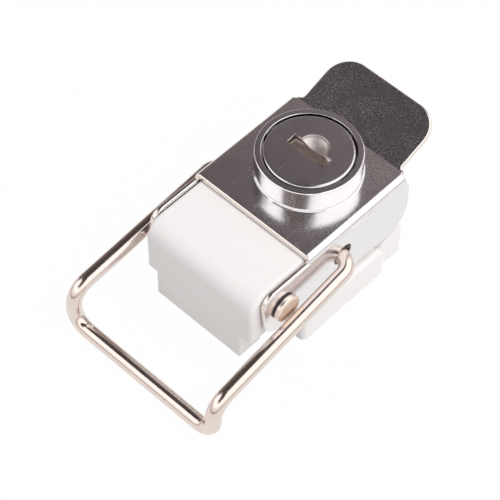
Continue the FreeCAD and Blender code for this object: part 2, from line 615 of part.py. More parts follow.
def lock_housing():
    """Collar and threaded barrel of the lock, in one turned piece."""
    body = new_body("lock_housing")
    turned(body, "Turned", [("bore_radius", "barrel_low"), ("barrel_radius", "barrel_low"),
                            ("barrel_radius", "plate_top"), ("collar_foot", "plate_top"),
                            ("collar_foot", "plate_top + collar_foot_edge"),
                            ("collar_radius", "plate_top + collar_foot_edge + collar_flare"),
                            ("collar_radius", "collar_top"), ("recess_radius", "collar_top"),
                            ("recess_radius", "recess_floor"), ("bore_radius", "recess_floor")])
    round_edges(body, "RimOutside", "collar_round", ring_edge(size("collar_radius"), size("collar_top")))
    round_edges(body, "RimInside", "recess_round", ring_edge(size("recess_radius"), size("collar_top")))
    sketch = outline(body, "ThreadProfile", "XZ_Plane",
                     [("barrel_radius - thread_depth", "barrel_low + thread_pitch / 2"),
                      ("barrel_radius + thread_depth", "barrel_low - thread_pitch / 3"),
                      ("barrel_radius + thread_depth", "barrel_low + thread_pitch * 4 / 3")])
    ring = body.newObject("PartDesign::Groove", "ThreadRing")
    ring.Profile = sketch
    ring.ReferenceAxis = (sketch, ["V_Axis"])
    ring.Angle = 360
    doc.recompute()
    rings = body.newObject("PartDesign::LinearPattern", "ThreadRings")
    rings.Originals = [ring]
    rings.Direction = (sketch, ["V_Axis"])
    bind(rings, Length="(thread_rings - 1) * thread_pitch", Occurrences="thread_rings")
    body.Tip = rings
    doc.recompute()
    for name, low, high in (("LeftFlat", "-barrel_radius - overcut", "-barrel_flat"),
                            ("RightFlat", "barrel_flat", "barrel_radius + overcut")):
        slab(body, "Subtractive", name, (low, "-barrel_radius - overcut", "barrel_low - overcut"),
             (high, "barrel_radius + overcut", "plate_top"))
    slab(body, "Subtractive", "ChannelsAcross",
         ("-bore_radius - channel_depth", "-channel_width / 2", "barrel_low - overcut"),
         ("bore_radius + channel_depth", "channel_width / 2", "seal_z - seal_wire - channel_end"))
    slab(body, "Subtractive", "ChannelsAlong",
         ("-channel_width / 2", "-bore_radius - channel_depth", "barrel_low - overcut"),
         ("channel_width / 2", "bore_radius + channel_depth", "seal_z - seal_wire - channel_end"))
    doc.recompute()
    before = body.Shape.Volume
    notch = stop_notch()
    cut = doc.addObject("Part::Cut", "lock_housing_notched")
    cut.Base = body
    cut.Tool = notch
    doc.recompute()
    print("lock housing: notch takes %.2f cubic mm" % (before - cut.Shape.Volume))
    body.Label = "lock_housing_turned"
    cut.Label = "lock_housing"
    place(body, y="lock_y")
    return cut


def stop_notch():
    """Notch in the barrel's end that lets the stop washer's ear travel a quarter turn."""
    spare = "(ear_width / 2 / ear_inner * 180 / pi + notch_spare)"
    outer = doc.addObject("Part::Cylinder", "NotchOuter")
    bind(outer, Radius="barrel_radius + overcut", Height="overcut + ear_height + notch_room",
         Angle="turn + 2 * " + spare)
    outer.Placement = FreeCAD.Placement(Vector(0, 0, 0), FreeCAD.Rotation(Vector(0, 0, 1), 1))
    outer.setExpression("Placement.Rotation.Angle", on_sheet("360 - turn - " + spare))
    place(outer, y="lock_y", z="barrel_low - overcut")
    inner = doc.addObject("Part::Cylinder", "NotchInner")
    bind(inner, Radius="ear_inner - ear_gap", Height="3 * overcut + ear_height + notch_room")
    place(inner, y="lock_y", z="barrel_low - 2 * overcut")
    notch = doc.addObject("Part::Cut", "Notch")
    notch.Base = outer
    notch.Tool = inner
    return notch


def lock_plug():
    """Turning core of the lock: head, stem with keyway and wafer slots, and square tail."""
    body = new_body("lock_plug")
    turned(body, "Turned", [("0", "land_low"), ("plug_radius", "land_low"), ("plug_radius", "clip_low"),
                            ("clip_inner", "clip_low"), ("clip_inner", "barrel_low"),
                            ("plug_radius", "barrel_low"),
                            ("plug_radius", "seal_z - seal_wire"),
                            ("seal_radius - seal_wire", "seal_z - seal_wire"),
                            ("seal_radius - seal_wire", "seal_z + seal_wire"),
                            ("plug_radius", "seal_z + seal_wire"),
                            ("plug_radius", "recess_floor"), ("plug_head", "recess_floor"),
                            ("plug_head", "head_top"), ("0", "head_top")])
    slab(body, "Additive", "Tail", ("-tail_width / 2", "-tail_width / 2", "tail_low"),
         ("tail_width / 2", "tail_width / 2", "land_low + land / 2"))
    rod(body, "Subtractive", "ScrewHole", "cam_screw_radius + press_gap",
        "cam_screw_length + fit_gap + overcut", z="tail_low - overcut")
    slab(body, "Subtractive", "Keyway", ("-keyway_length / 2", "-keyway_width / 2", "keyway_low"),
         ("keyway_length / 2", "keyway_width / 2", "head_top + overcut"))
    slab(body, "Subtractive", "FlapChamber",
         ("-chamber_half", "-flap_hinge - knuckle_radius - flap_room / 2", "chamber_low"),
         ("chamber_half", "slot_width / 2 + fit_gap", "head_top + overcut"))
    dish = body.newObject("PartDesign::SubtractiveSphere", "ThumbDish")
    radius = "((thumb_radius ^ 2 + thumb_depth ^ 2) / (2 * thumb_depth))"
    bind(dish, Radius=radius)
    place(dish, y="slot_width / 2", z="head_top + " + radius + " - thumb_depth")
    rod(body, "Subtractive", "PinHole", "pin_radius + press_gap / 2", "pin_length", "-pin_length / 2",
        "-flap_hinge", "hinge_z", along_x=True)
    edge, coil_out = "wafer_width / 2", "(spring_radius + spring_wire)"
    for number in range(len(WAFER_CODES)):
        middle = "wafer_low + %d * wafer_pitch" % number
        slab(body, "Subtractive", "WaferSlot%d" % (number + 1),
             ("-plug_radius - overcut", "-%s - wafer_gap" % edge, middle + " - wafer_thick / 2 - wafer_gap"),
             ("plug_radius + overcut", edge + " + wafer_gap", middle + " + wafer_thick / 2 + wafer_gap"))
        slab(body, "Subtractive", "SpringPocket%d" % (number + 1),
             ("-spring_length - wafer_ear / 2 - spring_gap - pocket_room", edge + " - spring_gap",
              middle + " - %s - spring_gap" % coil_out),
             ("wafer_ear / 2 + pocket_room", edge + " + 2 * %s + pocket_room" % coil_out,
              middle + " + %s + spring_gap" % coil_out))
    place(body, y="lock_y")
    return body


def plug_face_cap():
    """Thin cap pressed over the plug's head, with the key slot and its half-round opening."""
    body = new_body("plug_face_cap")
    turned(body, "Drawn", [("0", "head_top"), ("plug_head", "head_top"),
                           ("plug_head", "collar_top - cap_skirt"), ("cap_radius", "collar_top - cap_skirt"),
                           ("cap_radius", "collar_top"), ("0", "collar_top")])
    round_edges(body, "CapEdge", "cap_round", ring_edge(size("cap_radius"), size("collar_top")))
    slab(body, "Subtractive", "KeySlot", ("-slot_length / 2", "-slot_width / 2", "head_top - overcut"),
         ("slot_length / 2", "slot_width / 2", "collar_top + overcut"))
    rod(body, "Subtractive", "Thumb", "thumb_radius", "cap_sheet + 2 * overcut",
        y="slot_width / 2 - press_gap", z="head_top - overcut", sector=180)
    place(body, y="lock_y")
    return body


def keyway_shutter():
    """Flap with a rolled knuckle that closes the key slot."""
    body = new_body("keyway_shutter")
    slab(body, "Additive", "Flap", ("-flap_length / 2", "0", "-flap_thick / 2"),
         ("flap_length / 2", "flap_reach", "flap_thick / 2"))
    rod(body, "Additive", "Knuckle", "knuckle_radius", "knuckle_length", "-flap_length / 2", along_x=True)
    slab(body, "Subtractive", "SpringRoom", ("-flap_length / 2 + knuckle_length", "-overcut", "-overcut"),
         ("flap_length / 2 + overcut", "knuckle_radius + spring_gap", "overcut"))
    rod(body, "Subtractive", "PinBore", "pin_radius + pin_gap", "flap_length + 2 * overcut",
        "-flap_length / 2 - overcut", along_x=True)
    place(body, y="lock_y - flap_hinge", z="hinge_z")
    return body


def shutter_pin():
    """Hinge pin of the flap, held in the plug's head."""
    body = new_body("shutter_pin")
    rod(body, "Additive", "Pin", "pin_radius", "pin_length", "-pin_length / 2", along_x=True)
    place(body, y="lock_y - flap_hinge", z="hinge_z")
    return body


def coil(radius, wire, length, turns, start):
    """Round wire coiled about an axis along X, from its start point."""
    pitch = (length - 2 * wire) / turns
    spine = Part.makeHelix(pitch, length - 2 * wire, radius)
    section = Part.Wire(Part.makeCircle(wire, Vector(radius, 0, 0), Vector(0, 1, 0)))
    spring = Part.Wire(spine.Edges).makePipeShell([section], True, True)
    spring.rotate(Vector(0, 0, 0), Vector(0, 1, 0), 90)
    spring.translate(start + Vector(wire, 0, 0))
    return spring


def shutter_spring():
    """Small coil round the hinge pin, beside the flap's knuckle."""
    wire = size("flap_spring_wire")
    room = size("flap_length") - size("knuckle_length")
    gap = size("spring_gap")
    radius = size("pin_radius") + wire + gap
    start = Vector(size("knuckle_length") - size("flap_length") / 2 + gap,
                   size("lock_y") - size("flap_hinge"), size("hinge_z"))
    shape = coil(radius, wire, room - 2 * gap, size("flap_spring_turns"), start)
    return plain_feature("shutter_spring", shape)


def wafer(number, shift):
    """One flat tumbler: a window for the key, shifted by its coding, and an ear for its spring."""
    body = new_body("wafer_%d" % number)
    middle = "wafer_low + %d * wafer_pitch" % (number - 1)
    low, high = "-wafer_thick / 2", "wafer_thick / 2"
    slab(body, "Additive", "Plate", ("-wafer_length / 2", "-wafer_width / 2", low),
         ("wafer_length / 2", "wafer_width / 2", high))
    slab(body, "Additive", "Ear", ("-wafer_ear / 2", "wafer_width / 2 - key_gap", low),
         ("wafer_ear / 2", "wafer_width / 2 + wafer_ear", high))
    slab(body, "Subtractive", "Window",
         ("-wafer_length / 2 + wafer_rail + %.2f" % shift, "-keyway_width / 2 - key_gap", "-overcut"),
         ("wafer_length / 2 - wafer_rail + %.2f" % shift, "keyway_width / 2 + key_gap", "overcut"))
    place(body, y="lock_y", z=middle)
    return body


def wafer_spring(number):
    """Coil that pushes one wafer out of the plug."""
    outside = size("spring_radius") + size("spring_wire")
    gap = size("spring_gap")
    start = Vector(-size("spring_length") - size("wafer_ear") / 2 - gap,
                   size("lock_y") + size("wafer_width") / 2 + outside + 2 * gap,
                   size("wafer_low") + (number - 1) * size("wafer_pitch"))
    shape = coil(size("spring_radius"), size("spring_wire"), size("spring_length"),
                 size("spring_turns"), start)
    return plain_feature("wafer_spring_%d" % number, shape)


def plug_seal_ring():
    """Rubber ring in the plug's groove."""
    ring = doc.addObject("Part::Torus", "plug_seal_ring")
    ring.Label = "plug_seal_ring"
    bind(ring, Radius1="seal_radius", Radius2="seal_wire")
    place(ring, y="lock_y", z="seal_z")
    return ring


def plug_clip():
    """Open spring ring in the plug's lower groove, against the barrel's end."""
    outer = doc.addObject("Part::Cylinder", "ClipOuter")
    bind(outer, Radius="clip_outer", Height="clip_thick")
    outer.setExpression("Angle", on_sheet("360 - clip_opening"))
    place(outer, y="lock_y", z="clip_low")
    inner = doc.addObject("Part::Cylinder", "ClipInner")
    bind(inner, Radius="clip_inner", Height="clip_thick + 2 * overcut")
    place(inner, y="lock_y", z="clip_low - overcut")
    clip = doc.addObject("Part::Cut", "plug_clip")
    clip.Label = "plug_clip"
    clip.Base = outer
    clip.Tool = inner
    return clip


def lock_nut():
    """Thin hexagon nut, chamfered on its lower side."""
    prism = doc.addObject("Part::Prism", "NutPrism")
    prism.Polygon = 6
    bind(prism, Circumradius="nut_flats / sqrt(3)", Height="nut_thick")
    place(prism, y="lock_y", z="nut_low")
    cone = doc.addObject("Part::Cone", "NutChamfer")
    bind(cone, Radius1="nut_face", Radius2="nut_face + nut_thick * sqrt(3)", Height="nut_thick")
    place(cone, y="lock_y", z="nut_low")
    blank = doc.addObject("Part::Common", "NutBlank")
    blank.Base = prism
    blank.Tool = cone
    bore = doc.addObject("Part::Cylinder", "NutBore")
    bind(bore, Radius="barrel_radius + press_gap", Height="nut_thick + 2 * overcut")
    place(bore, y="lock_y", z="nut_low - overcut")
    nut = doc.addObject("Part::Cut", "lock_nut")
    nut.Label = "lock_nut"
    nut.Base = blank
    nut.Tool = bore
    return nut


def nut_washer():
    """Toothed washer between the nut and the plate."""
    body = new_body("nut_washer")
    rod(body, "Additive", "Disc", "nut_washer_radius", "nut_washer_thick")
    rod(body, "Subtractive", "Hole", "barrel_radius + press_gap", "nut_washer_thick + 2 * overcut",
        z="-overcut")
    notch = slab(body, "Subtractive", "Tooth",
                 ("nut_washer_radius - tooth_depth", "-tooth_gap / 2", "-overcut"),
                 ("nut_washer_radius + overcut", "tooth_gap / 2", "nut_washer_thick + overcut"))
    doc.recompute()
    teeth = body.newObject("PartDesign::PolarPattern", "Teeth")
    teeth.Originals = [notch]
    teeth.Axis = (body.Origin.OriginFeatures[2], [""])
    teeth.Angle = 360
    bind(teeth, Occurrences="tooth_count")
    body.Tip = teeth
    place(body, y="lock_y", z="nut_washer_low")
    return body


def square_hole(body, thickness):
    """Square hole for the plug's tail."""
    side = "tail_width / 2 + fit_gap"
    return slab(body, "Subtractive", "SquareHole", ("-(%s)" % side, "-(%s)" % side, "-overcut"),
                (side, side, thickness + " + overcut"))


def stop_washer():
    """Washer on the plug's square tail, with an ear that runs in the barrel's notch."""
    body = new_body("stop_washer")
    rod(body, "Additive", "Disc", "stop_radius", "stop_thick")
    slab(body, "Additive", "Arm", ("stop_radius - ear_width", "-ear_width / 2", "0"),
         ("ear_inner + ear_thick", "ear_width / 2", "stop_thick"))
    slab(body, "Additive", "Ear", ("ear_inner", "-ear_width / 2", "0"),
         ("ear_inner + ear_thick", "ear_width / 2", "barrel_low + ear_height - stop_low"))
    square_hole(body, "stop_thick")
    place(body, y="lock_y", z="stop_low")
    return body


def lock_cam():
    """Locking tongue: it points to the side when open and under the base's ledge when locked."""
    body = new_body("lock_cam")
    rod(body, "Additive", "Hub", "cam_hub", "cam_thick")
    slab(body, "Additive", "Tongue", ("-cam_length", "-cam_width / 2", "0"),
         ("0", "cam_width / 2", "cam_thick"))
    length = size("cam_length")
    round_edges(body, "TongueCorners", "cam_round",
                lambda box: near(box.XMax, -length) and near(box.YLength, 0) and near(box.XLength, 0))
    square_hole(body, "cam_thick")
    place(body, y="lock_y", z="cam_low")
    return body


def cam_washer():
    """Split spring washer."""
    body = new_body("cam_washer")
    rod(body, "Additive", "Ring", "cam_washer_radius", "cam_washer_thick")
    rod(body, "Subtractive", "Hole", "cam_screw_radius + fit_gap", "cam_washer_thick + 2 * overcut",
        z="-overcut")
    slab(body, "Subtractive", "Split", ("0", "-cam_washer_split / 2", "-overcut"),
         ("cam_washer_radius + overcut", "cam_washer_split / 2", "cam_washer_thick + overcut"))
    place(body, y="lock_y", z="cam_washer_low")
    return body


def cam_screw():
    """Pan-head screw with a cross recess, into the plug's tail."""
    body = new_body("cam_screw")
    turned(body, "Turned", [("0", "0"), ("cam_screw_head", "0"), ("cam_screw_head", "cam_screw_head_thick"),
                            ("cam_screw_radius", "cam_screw_head_thick"),
                            ("cam_screw_radius", "tail_low - screw_low + cam_screw_length"),
                            ("0", "tail_low - screw_low + cam_screw_length")])
    round_edges(body, "HeadEdge", "cam_screw_round", ring_edge(size("cam_screw_head"), 0.0))
    for name, x, y in (("RecessAcross", "drive_length", "drive_width"),
                       ("RecessAlong", "drive_width", "drive_length")):
        slab(body, "Subtractive", name, ("-%s / 2" % x, "-%s / 2" % y, "-overcut"),
             ("%s / 2" % x, "%s / 2" % y, "drive_depth"))
    place(body, y="lock_y", z="screw_low")
    return body


def build():
    """Make every piece and return them in order."""
    fill_sheet()
    pieces = [base_housing(), threaded_insert("insert_front", "-"), threaded_insert("insert_rear", ""),
              pivot_rivet(), rivet_washer("rivet_washer_left", "-washer_start - rivet_washer_thick"),
              rivet_washer("rivet_washer_right", "washer_start"), lever_plate(), wire_bail(),
              lock_housing(), lock_nut(), nut_washer(), lock_plug(), plug_face_cap(),
              keyway_shutter(), shutter_pin(), shutter_spring()]
    for number, shift in enumerate(WAFER_CODES, 1):
        pieces.append(wafer(number, shift))
        pieces.append(wafer_spring(number))
    pieces += [plug_seal_ring(), plug_clip(), stop_washer(), lock_cam(), cam_washer(), cam_screw()]
    doc.recompute()
    return pieces


def check(pieces):
    """Stop on any failed object or any piece that isn't a valid solid."""
    for item in doc.Objects:
        if "Invalid" in item.State or "Error" in item.State:
            raise RuntimeError("%s (%s): %s" % (item.Name, item.Label, item.State))
    for piece in pieces:
        shape = piece.Shape
        if shape.isNull() or not shape.isValid() or len(shape.Solids) != 1:
            raise RuntimeError("%s isn't one valid solid" % piece.Label)
    labels = [piece.Label for piece in pieces]
    if len(set(labels)) != len(labels):
        raise RuntimeError("two pieces share a name")


def write(pieces):
    """One STEP file for each piece."""
    os.makedirs("parts", exist_ok=True)
    for piece in pieces:
        box = piece.Shape.BoundBox
        print("%-20s %9.2f mm3  x %.2f %.2f  y %.2f %.2f  z %.2f %.2f" % (
            piece.Label, piece.Shape.Volume, box.XMin, box.XMax, box.YMin, box.YMax, box.ZMin, box.ZMax))
        piece.Shape.exportStep("parts/%s.step" % piece.Label)


PIECES = build()
check(PIECES)
write(PIECES)
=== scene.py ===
"""Looks of an enclosure latch lock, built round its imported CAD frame."""

import json
import math
from functools import cache

import bmesh
import bpy
from mathutils import Matrix, Vector
from mathutils.bvhtree import BVHTree


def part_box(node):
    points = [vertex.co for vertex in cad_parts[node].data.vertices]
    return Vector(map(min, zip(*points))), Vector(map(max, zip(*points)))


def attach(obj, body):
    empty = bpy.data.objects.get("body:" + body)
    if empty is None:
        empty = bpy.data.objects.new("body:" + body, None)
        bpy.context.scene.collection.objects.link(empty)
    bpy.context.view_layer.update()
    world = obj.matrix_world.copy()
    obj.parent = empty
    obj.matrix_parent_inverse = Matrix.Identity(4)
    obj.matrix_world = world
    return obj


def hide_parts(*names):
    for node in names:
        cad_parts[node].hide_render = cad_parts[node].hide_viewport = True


bl_info = {
    "name": "Enclosure Latch Lock",
    "version": (1, 0, 0),
    "blender": (4, 5, 0),
    "location": "View3D > Sidebar > Latch Lock",
    "description": "Dresses the packed enclosure latch lock and sets its stage",
    "category": "Object",
}

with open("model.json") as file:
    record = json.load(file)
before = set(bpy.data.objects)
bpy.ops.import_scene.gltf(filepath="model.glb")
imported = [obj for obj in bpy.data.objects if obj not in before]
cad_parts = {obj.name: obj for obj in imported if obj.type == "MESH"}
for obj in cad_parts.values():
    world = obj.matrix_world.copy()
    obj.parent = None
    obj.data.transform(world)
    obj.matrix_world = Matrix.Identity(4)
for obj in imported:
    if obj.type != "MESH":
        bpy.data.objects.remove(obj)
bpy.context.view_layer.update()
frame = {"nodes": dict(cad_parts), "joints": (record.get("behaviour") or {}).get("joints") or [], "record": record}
MM = 0.001
JOINTS = {joint["name"]: joint for joint in frame["joints"]}
BODY_OF = {node: body for body, nodes in frame["record"]["behaviour"]["bodies"].items() for node in nodes}
SLOT_OF = {part["node"]: part["material_slot"] for part in frame["record"]["subparts"]}
WAFERS = ["wafer_%d" % number for number in range(1, 6)]
WAFER_SPRINGS = ["wafer_spring_%d" % number for number in range(1, 6)]
PAINTED = WAFERS + WAFER_SPRINGS + ["shutter_pin", "shutter_spring", "plug_seal_ring", "plug_clip"]

# Meshes of the pieces. A softened edge moves no point farther off its surface than a share of its width
SAME_POINT = 0.0005 * MM
SAME_PLANE = math.radians(0.3)
RAY_START = 0.001 * MM
SHARP_ANGLE = math.radians(35.0)
EDGE_STEPS = 3
FLATS_WEIGHT = 80
PULL_SHARE = 0.5
WIRE_SHARP_ANGLE = math.radians(40)
WIRE_SIDES = 40
WIRE_BEND_STEPS = 22

# Weld lump on the bail's cross bar
BURR_PLACE = Vector((-15.15, -42.95, 3.2)) * MM
BURR_SIZE = Vector((0.85, 0.6, 0.6)) * MM
BURR_SUBDIVISIONS = 3
BURR_WAVES = 4.0
BURR_ROUGH = 0.28

# Finishes
NOISE_SPAN = (0.3, 0.7)
NARROW_SPAN = (0.35, 0.65)
SPECK = (0.25, 0.22, 0.2, 1.0)
ZINC_TINTS = [(0.3, (0.62, 0.63, 0.66, 1.0)), (0.5, (0.68, 0.68, 0.68, 1.0)),
              (0.7, (0.69, 0.66, 0.58, 1.0))]

# Floor and world
WHITE = (1, 1, 1, 1)
FLOOR_HALF = 3.0
FLOOR_Z = -0.02 * MM
FLOOR_TONE = (0.8, 0.8, 0.8, 1)
FLOOR_GLOW_SEEN = 0.98
FLOOR_GLOW_REFLECTED = 0.9
REFLECTED_EXTRA = 0.45

# Cards that show in reflections only: outlines in metres, and tones along one coordinate
CEILING_Z = 0.6
CEILING = [(-0.66, 0.36), (-0.58, 0.1), (-0.5, -0.06), (-0.36, -0.2), (-0.2, -0.22), (-0.1, -0.3),
           (-0.1, -0.65), (0.4, -0.65), (0.34, -0.2), (0.17, 0.0), (0.0, 0.12), (-0.16, 0.27), (0.01, 0.47),
           (-0.05, 0.68), (-0.6, 0.68)]
CEILING_TONES = [(-0.65, (0.2, 0.15, 0.135, 1)), (-0.35, (0.12, 0.095, 0.09, 1)),
                 (-0.12, (0.065, 0.057, 0.06, 1)), (0.2, (0.08, 0.067, 0.072, 1)),
                 (0.33, (0.12, 0.1, 0.105, 1)), (0.39, (0.19, 0.16, 0.165, 1)),
                 (0.46, (0.28, 0.235, 0.235, 1)), (0.68, (0.42, 0.34, 0.32, 1))]
SIDE = [(-1.5, -0.5), (-1.5, 1.2), (-0.9, 2.2), (0.1, 2.5)]
SIDE_HEIGHT = 1.85
SIDE_TONES = [(-1.5, (0.16, 0.13, 0.12, 1)), (-0.9, (0.3, 0.235, 0.215, 1)), (-0.4, (0.44, 0.35, 0.32, 1)),
              (0.1, (0.7, 0.6, 0.56, 1))]
SKIRT_RADIUS = 0.26
SKIRT_STEPS = 60
SKIRT_SPAN = (-170.0, 85.0)
SKIRT_TONES = [(0.0, (0.22, 0.16, 0.14, 1)), (0.022, (0.34, 0.25, 0.21, 1)), (0.03, (1.0, 0.85, 0.76, 1)),
               (0.06, WHITE), (0.1, WHITE)]

# Lamps and camera
LAMP_TARGET = (0, 0, 0.01)
LAMPS = {
    "key": {"place": (0.35, 0.1, 0.6), "size": 0.4, "colour": (1, 1, 1)},
    "fill": {"place": (-0.5, -0.1, 0.5), "size": 0.5, "colour": (1.0, 0.96, 0.95)},
    "side": {"place": (0.6, -0.05, 0.22), "size": 0.4, "colour": (1, 1, 1)},
}
SENSOR_WIDTH = 36.0
CLIP_START = 0.01


def put(target, **settings):
    """Set properties of a thing and hand it out."""
    for name, value in settings.items():
        setattr(target, name, value)
    return target


def opaque(colour, share=1.0):
    """Colour with alpha, each channel times a share."""
    return tuple(channel * share for channel in colour[:3]) + (1.0,)


class Amount:
    """A socket's value, on which Python's operators add Math nodes."""

    def __init__(self, finish, socket):
        self.finish = finish
        self.socket = socket

    def calc(self, operation, other):
        """What a Math node makes of this amount and another."""
        made = self.finish.node("ShaderNodeMath", {"operation": operation}, {0: self, 1: other})
        return Amount(self.finish, made.outputs[0])

    def __add__(self, other):
        return self.calc("ADD", other)

    def __mul__(self, other):
        return self.calc("MULTIPLY", other)

    def __gt__(self, other):
        return self.calc("GREATER_THAN", other)

    def __lt__(self, other):
        return self.calc("LESS_THAN", other)


class Tree:
    """A node tree in the making."""

    def feed(self, socket, value):
        """Link an output to a socket, or set a plain value on it."""
        if isinstance(value, Amount):
            value = value.socket
        if isinstance(value, bpy.types.NodeSocket):
            self.tree.links.new(value, socket)
        else:
            socket.default_value = value

    def node(self, kind, settings=None, inputs=None):
        """Any node: its settings come first, then the values or links of its sockets."""
        made = put(self.tree.nodes.new(kind), **(settings or {}))
        for name, value in (inputs or {}).items():
            self.feed(made.inputs[name], value)
        return made


class Finish(Tree):
    """The shader tree of a material, or of a world."""

    def __init__(self, name, owners="materials"):
        self.owner = getattr(bpy.data, owners).new(name)
        self.owner.use_nodes = True
        self.tree = self.owner.node_tree
        self.tree.nodes.clear()

    def place(self, scale=(1, 1, 1), turn=(0, 0, 0)):
        """Object coordinates, scaled and turned."""
        where = self.node("ShaderNodeTexCoord").outputs["Object"]
        mapping = self.node("ShaderNodeMapping", inputs={"Vector": where, "Scale": scale, "Rotation": turn})
        return mapping.outputs[0]

    def noise(self, scale, detail=2.0, rough=0.5, where=None):
        """Cloudy amount about 0.5."""
        made = self.node("ShaderNodeTexNoise", inputs={
            "Vector": where or self.place(), "Scale": scale, "Detail": detail, "Roughness": rough})
        return Amount(self, made.outputs["Fac"])

    def cloud(self, scale):
        """The kind of noise that varies the tone of most finishes."""
        return self.noise(scale, detail=3.0, rough=0.6)

    def dots(self, scale, size):
        """1 inside round dots strewn at random, 0 between them."""
        cells = self.node("ShaderNodeTexVoronoi", {"feature": "F1"}, {
            "Vector": self.place(), "Scale": scale})
        return Amount(self, cells.outputs["Distance"]) < size

    def scratches(self, scale, stretch, turn, low, high):
        """1 along thin scratches that run one way, 0 between them."""
        where = self.place((1.0, stretch, 1.0), (0, 0, turn))
        return self.ramp(self.noise(scale, detail=1.0, where=where), low, high)

    def ramp(self, amount, low, high, to_low=0.0, to_high=1.0):
        """Map a range of an amount to another range, and stop at its ends."""
        made = self.node("ShaderNodeMapRange", {"clamp": True}, {
            "Value": amount, "From Min": low, "From Max": high, "To Min": to_low, "To Max": to_high})
        return Amount(self, made.outputs["Result"])

    def spread(self, noise, to_low=0.0, to_high=1.0):
        """Map the span in which most of a noise lies to another range."""
        return self.ramp(noise, *NOISE_SPAN, to_low, to_high)

    def mix(self, factor, first, second):
        """Mix two colours by an amount."""
        made = self.node("ShaderNodeMix", {"data_type": "RGBA"}, {0: factor, 6: first, 7: second})
        return made.outputs[2]

    def shades(self, noise, colour, dark, light=1.0):
        """Colour that a noise varies between a darker and a lighter share of it."""
        return self.mix(self.spread(noise), opaque(colour, dark), opaque(colour, light))

    def colours(self, amount, stops):
        """Colour that follows an amount through stops of place and colour."""
        made = self.node("ShaderNodeValToRGB", inputs={"Fac": amount})
        ramp = made.color_ramp
        while len(ramp.elements) < len(stops):
            ramp.elements.new(1.0)
        for element, (place, colour) in zip(ramp.elements, stops):
            put(element, position=place, color=colour)
        return made.outputs["Color"]

    def rays(self, *kinds):
        """1 on rays of the kinds named, 0 on the rest."""
        path = self.node("ShaderNodeLightPath")
        total = Amount(self, path.outputs["Is %s Ray" % kinds[0]])
        for kind in kinds[1:]:
            total = total + Amount(self, path.outputs["Is %s Ray" % kind])
        return self.ramp(total, 0.0, 1.0)

    def glow(self, colour):
        """Shader that gives light of its own."""
        return self.node("ShaderNodeEmission", inputs={"Color": colour, "Strength": 1.0})

    def end(self, shader, output="ShaderNodeOutputMaterial"):
        """Link a shader to the output and hand out the finished material or world."""
        self.feed(self.node(output).inputs[0], shader.outputs[0])
        return self.owner

    def surface(self, tone, roughness, height, depth, **more):
        """End in one Principled shader, with a bump of a depth in millimetres."""
        bump = self.node("ShaderNodeBump", inputs={
            "Height": height, "Distance": depth * MM, "Strength": 1.0})
        return self.end(self.node("ShaderNodeBsdfPrincipled", inputs={
            "Base Color": tone, "Roughness": roughness, "Normal": bump.outputs[0], **more}))

    def metal(self, tone, roughness, height, depth):
        """The same end for bare or plated metal."""
        return self.surface(tone, roughness, height, depth, Metallic=1.0)


def cloudy_metal(name, clouds, tones, roughness, grain, depth, span=NOISE_SPAN, grain_rough=0.5):
    """Metal whose tone and roughness vary with one noise, under a finer grain."""
    finish = Finish(name)
    cloud = finish.cloud(clouds)
    tone = finish.mix(finish.ramp(cloud, *span), opaque(tones[0]), opaque(tones[1]))
    return finish.metal(tone, finish.spread(cloud, *roughness), finish.noise(grain, rough=grain_rough),
                        depth)


@cache
def white_plastic():
    """Satin moulded plastic: cloudy tone, fine mould grain and a few specks."""
    finish = Finish("white_plastic")
    cloud = finish.cloud(260)
    clean = finish.shades(cloud, bpy.context.scene.latch_colours.plastic, dark=0.985)
    specks = finish.dots(330, 0.035) * (finish.noise(90, detail=1.0) > 0.64)
    tone = finish.mix(specks * 0.35, clean, SPECK)
    grain = finish.noise(2600, rough=0.6)
    return finish.surface(tone, finish.spread(cloud, 0.36, 0.46), grain, depth=0.004, IOR=1.46)


@cache
def sheet_edge():
    """Tumbled edge of the sheet: warm, bright and faintly torn."""
    finish = Finish("sheet_edge")
    tears = finish.cloud(2600)
    tone = finish.shades(tears, bpy.context.scene.latch_colours.cut, dark=0.9)
    return finish.metal(tone, finish.spread(tears, 0.16, 0.24), tears, depth=0.003)


@cache
def polished_steel():
    """Polished stainless sheet: mottled, finely grained, with small dull spots."""
    finish = Finish("polished_steel")
    patches = finish.noise(190, detail=4.0, rough=0.62)
    grain = finish.ramp(finish.noise(3600, rough=0.6), 0.52, 0.62)
    spots = finish.dots(1100, 0.07) * (finish.noise(150, detail=1.0) > 0.5)
    mottle = finish.ramp(patches * 0.4 + finish.noise(1700, detail=3.0, rough=0.7) * 0.6, 0.36, 0.62)
    colour = bpy.context.scene.latch_colours.steel
    tone = finish.mix(mottle, opaque(colour, 0.94), opaque(colour))
    roughness = finish.ramp(patches, 0.32, 0.68, 0.16, 0.2) + grain * 0.09 + spots * 0.2
    return finish.metal(tone, roughness, finish.noise(1500) + spots * 0.5, depth=0.0008)


@cache
def nickel_wire():
    """Bright nickel on drawn wire: faint lines run along it."""
    finish = Finish("nickel_wire")
    around = finish.node("ShaderNodeAttribute", {"attribute_name": "around"}).outputs["Vector"]
    lines = finish.noise(7.0, detail=1.0, where=around)
    cloud = finish.cloud(240)
    tone = finish.shades(cloud, bpy.context.scene.latch_colours.nickel, dark=0.94)
    return finish.metal(tone, finish.spread(cloud, 0.14, 0.2), lines, depth=0.00015)


@cache
def rivet_steel():
    """Nickel on a turned rivet, a little warmer and duller than the wire."""
    colour = bpy.context.scene.latch_colours.rivet
    return cloudy_metal("rivet_steel", clouds=500, tones=(opaque(colour, 0.9), colour),
                        roughness=(0.28, 0.36), grain=1800, depth=0.001, span=NARROW_SPAN, grain_rough=0.6)


